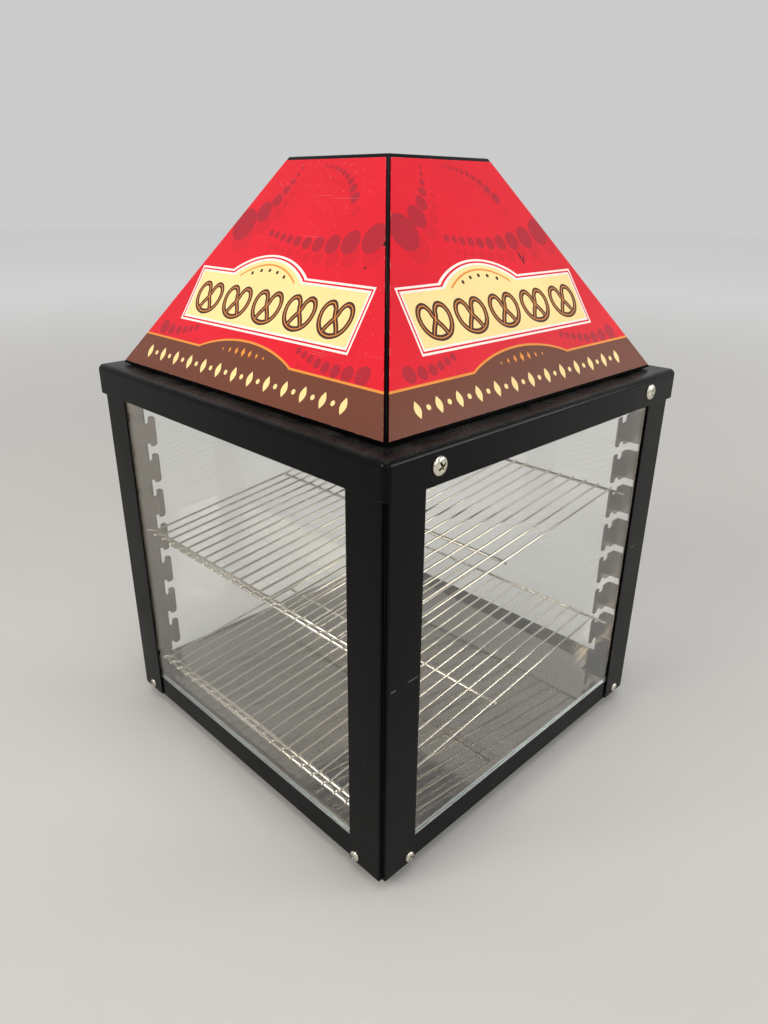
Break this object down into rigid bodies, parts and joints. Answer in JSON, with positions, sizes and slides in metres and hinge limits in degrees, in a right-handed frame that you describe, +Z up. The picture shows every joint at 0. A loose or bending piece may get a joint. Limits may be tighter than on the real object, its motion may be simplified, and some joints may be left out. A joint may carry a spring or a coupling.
{
  "type": "bakery display case",
  "caption": "Square countertop glass case for warm baked goods, with two sloping wire racks, a hinged rear glass door and a tapered four-sided sign hood.",
  "frame": {"origin": "on the bench, at the centre of the case's footprint", "axes": "+Z up; the customer's front glass faces -Y and the door side faces +Y; +X is to the right seen from the front"},
  "size_m": [0.4128, 0.4131, 0.5737],
  "materials": {
    "black_powder_coat": "glossy black powder coat",
    "stainless": "bright rolled stainless sheet, lightly brushed",
    "rack_wire": "nickel plated steel wire",
    "anodised_aluminium": "satin anodised",
    "zinc_plate": "bright zinc plate",
    "clear_glass": "clear tempered glass",
    "printed_vinyl": "semi-gloss printed vinyl",
    "foot_rubber": "matt black rubber",
    "magnet_case": "matt black"
  },
  "bodies": {
    "case": {"base_bottom_plate": "stainless", "base_pan": "black_powder_coat", "catch_magnet": "magnet_case", "floor_pan": "stainless", "front_glass": "clear_glass", "front_glazing_channel": "anodised_aluminium", "front_left_foot": "foot_rubber", "front_left_post": "black_powder_coat", "front_left_rack_bracket": "stainless", "front_right_foot": "foot_rubber", "front_right_post": "black_powder_coat", "front_right_rack_bracket": "stainless", "front_sign_panel": "printed_vinyl", "hood_riser": "black_powder_coat", "hood_shell": "black_powder_coat", "left_front_cap_screw": "zinc_plate", "left_front_post_screw": "zinc_plate", "left_glass": "clear_glass", "left_glazing_channel": "anodised_aluminium", "left_rear_cap_screw": "zinc_plate", "left_rear_post_screw": "zinc_plate", "left_side_front_post_screw": "zinc_plate", "left_side_rear_post_screw": "zinc_plate", "left_sign_panel": "printed_vinyl", "lower_hinge_pin": "zinc_plate", "rear_left_foot": "foot_rubber", "rear_left_post": "black_powder_coat", "rear_left_rack_bracket": "stainless", "rear_right_foot": "foot_rubber", "rear_right_post": "black_powder_coat", "rear_right_rack_bracket": "stainless", "rear_sign_panel": "printed_vinyl", "right_front_cap_screw": "zinc_plate", "right_front_post_screw": "zinc_plate", "right_glass": "clear_glass", "right_glazing_channel": "anodised_aluminium", "right_rear_cap_screw": "zinc_plate", "right_rear_post_screw": "zinc_plate", "right_side_front_post_screw": "zinc_plate", "right_side_rear_post_screw": "zinc_plate", "right_sign_panel": "printed_vinyl", "top_cap": "black_powder_coat", "top_frame": "black_powder_coat", "upper_hinge_arm": "stainless", "upper_hinge_pin": "zinc_plate"},
    "rear_door": {"door_glass": "clear_glass", "door_knob": "anodised_aluminium", "knob_screw": "zinc_plate", "lower_hinge_clip": "stainless", "upper_hinge_clip": "stainless", "door_strike_plate": "zinc_plate"},
    "upper_rack": {"upper_rack": "rack_wire"},
    "lower_rack": {"lower_rack": "rack_wire"}
  },
  "joints": [
    {"name": "rear_door_hinge", "type": "hinge", "parent": "case", "child": "rear_door", "pos_m": [0.179, 0.1966, 0.2], "axis": [0, 0, -1], "range_deg": [0, 110]},
    {"name": "upper_rack_lift", "type": "slide", "parent": "case", "child": "upper_rack", "axis": [0, 0, 1], "range_m": [0, 0.009]},
    {"name": "lower_rack_lift", "type": "slide", "parent": "case", "child": "lower_rack", "axis": [0, 0, 1], "range_m": [0, 0.009]}
  ]
}
